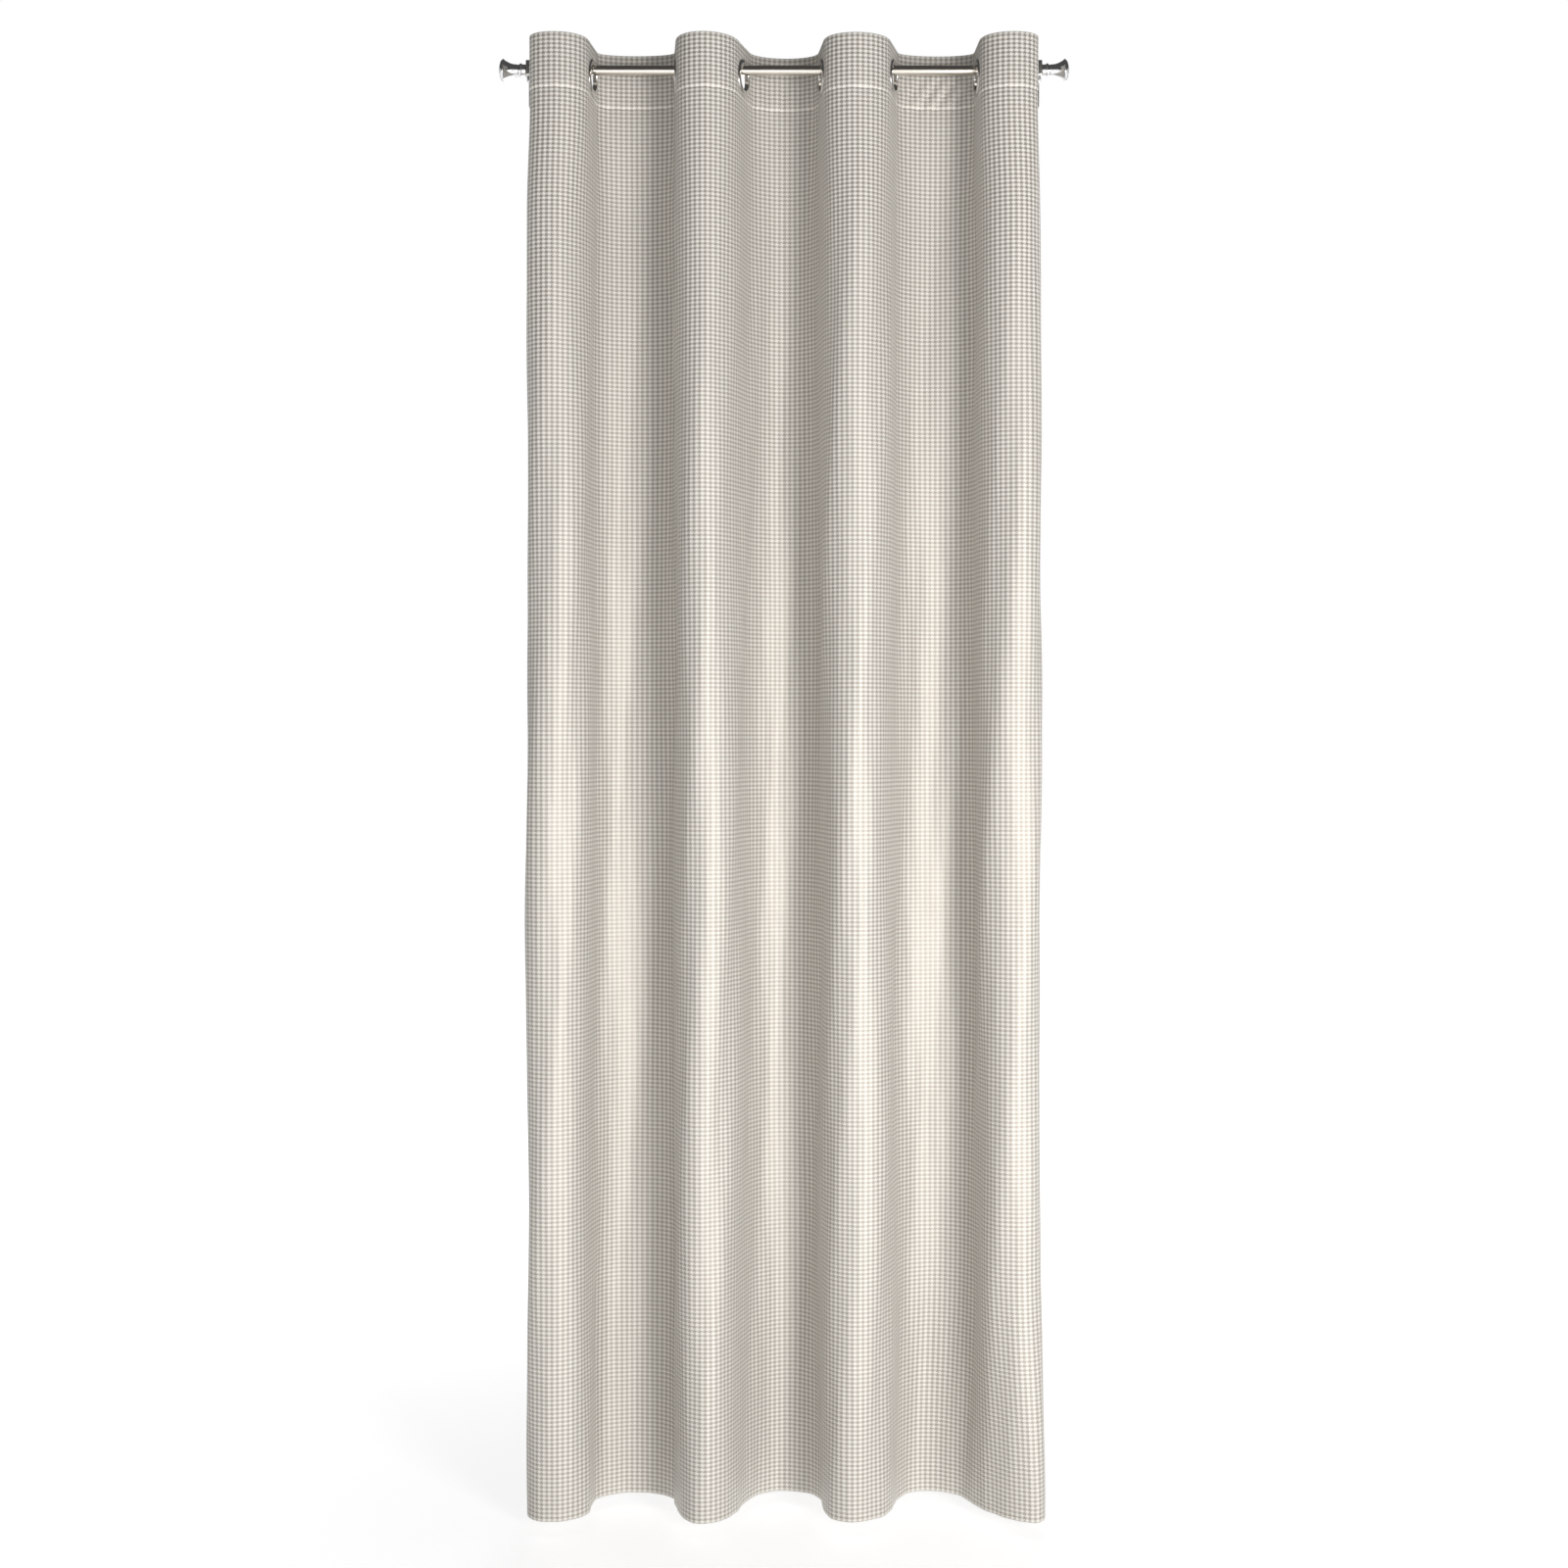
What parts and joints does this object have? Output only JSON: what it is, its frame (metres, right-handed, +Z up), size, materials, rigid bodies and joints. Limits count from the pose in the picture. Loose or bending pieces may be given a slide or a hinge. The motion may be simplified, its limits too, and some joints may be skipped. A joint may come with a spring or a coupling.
{
  "type": "window curtain on a rod",
  "caption": "Eyelet curtain in soft folds on a slim metal rod with flared end knobs, held off the wall by open-cup brackets; it draws to one side.",
  "frame": {"origin": "on the wall, midway between the two wall plates and level with the rod's axis", "axes": "+X along the rod to the right as seen from the room, +Y into the wall, +Z up"},
  "size_m": [0.9358, 0.1847, 2.4],
  "materials": {
    "houndstooth_cloth": "satin ecru ground with a small grey-taupe houndstooth weave",
    "heading_stiffener": "matt non-woven buckram",
    "eyelet_chrome": "polished",
    "rod_nickel": "warm polished nickel",
    "finial_chrome": "mirror polished",
    "bracket_nickel": "satin nickel",
    "screw_zinc": "zinc plated"
  },
  "bodies": {
    "brackets": {"wall_plate_left": "bracket_nickel", "wall_plate_right": "bracket_nickel", "bracket_arm_left": "bracket_nickel", "bracket_arm_right": "bracket_nickel", "rod_cup_left": "bracket_nickel", "rod_cup_right": "bracket_nickel", "thumb_screw_left": "screw_zinc", "thumb_screw_right": "screw_zinc", "wall_screw_left_upper": "screw_zinc", "wall_screw_left_lower": "screw_zinc", "wall_screw_right_upper": "screw_zinc", "wall_screw_right_lower": "screw_zinc"},
    "rod": {"rod_tube": "rod_nickel", "finial_left": "finial_chrome", "finial_right": "finial_chrome", "finial_sleeve_left": "finial_chrome", "finial_sleeve_right": "finial_chrome", "grub_screw_left": "screw_zinc", "grub_screw_right": "screw_zinc", "eyelet_front_1": "eyelet_chrome", "eyelet_back_1": "eyelet_chrome", "curtain_panel": "houndstooth_cloth", "heading_facing": "houndstooth_cloth", "heading_stiffener": "heading_stiffener", "side_hem_left": "houndstooth_cloth", "side_hem_right": "houndstooth_cloth", "bottom_hem": "houndstooth_cloth"},
    "eyelet_2": {"eyelet_front_2": "eyelet_chrome", "eyelet_back_2": "eyelet_chrome"},
    "eyelet_3": {"eyelet_front_3": "eyelet_chrome", "eyelet_back_3": "eyelet_chrome"},
    "eyelet_4": {"eyelet_front_4": "eyelet_chrome", "eyelet_back_4": "eyelet_chrome"},
    "eyelet_5": {"eyelet_front_5": "eyelet_chrome", "eyelet_back_5": "eyelet_chrome"},
    "eyelet_6": {"eyelet_front_6": "eyelet_chrome", "eyelet_back_6": "eyelet_chrome"},
    "eyelet_7": {"eyelet_front_7": "eyelet_chrome", "eyelet_back_7": "eyelet_chrome"},
    "eyelet_8": {"eyelet_front_8": "eyelet_chrome", "eyelet_back_8": "eyelet_chrome"}
  },
  "joints": [
    {"name": "rod_lift_out", "type": "slide", "parent": "brackets", "child": "rod", "axis": [0, 0, 1], "range_m": [0, 0.03]},
    {"name": "curtain_draw", "type": "slide", "parent": "rod", "child": "eyelet_8", "axis": [1, 0, 0], "range_m": [-0.517, 0], "deforming": ["curtain_panel", "heading_facing", "heading_stiffener", "side_hem_left", "side_hem_right", "bottom_hem"]},
    {"name": "eyelet_2_slide", "type": "slide", "parent": "rod", "child": "eyelet_2", "axis": [1, 0, 0], "range_m": [-0.0545, 0]},
    {"name": "eyelet_3_slide", "type": "slide", "parent": "rod", "child": "eyelet_3", "axis": [1, 0, 0], "range_m": [-0.1435, 0]},
    {"name": "eyelet_4_slide", "type": "slide", "parent": "rod", "child": "eyelet_4", "axis": [1, 0, 0], "range_m": [-0.2155, 0]},
    {"name": "eyelet_5_slide", "type": "slide", "parent": "rod", "child": "eyelet_5", "axis": [1, 0, 0], "range_m": [-0.2992, 0]},
    {"name": "eyelet_6_slide", "type": "slide", "parent": "rod", "child": "eyelet_6", "axis": [1, 0, 0], "range_m": [-0.3759, 0]},
    {"name": "eyelet_7_slide", "type": "slide", "parent": "rod", "child": "eyelet_7", "axis": [1, 0, 0], "range_m": [-0.4655, 0]}
  ],
  "couplings": [
    {"joint": "eyelet_2_slide", "follows": "curtain_draw", "ratio": 0.10432},
    {"joint": "eyelet_3_slide", "follows": "curtain_draw", "ratio": 0.27648},
    {"joint": "eyelet_4_slide", "follows": "curtain_draw", "ratio": 0.41587},
    {"joint": "eyelet_5_slide", "follows": "curtain_draw", "ratio": 0.57793},
    {"joint": "eyelet_6_slide", "follows": "curtain_draw", "ratio": 0.72618},
    {"joint": "eyelet_7_slide", "follows": "curtain_draw", "ratio": 0.89958}
  ]
}
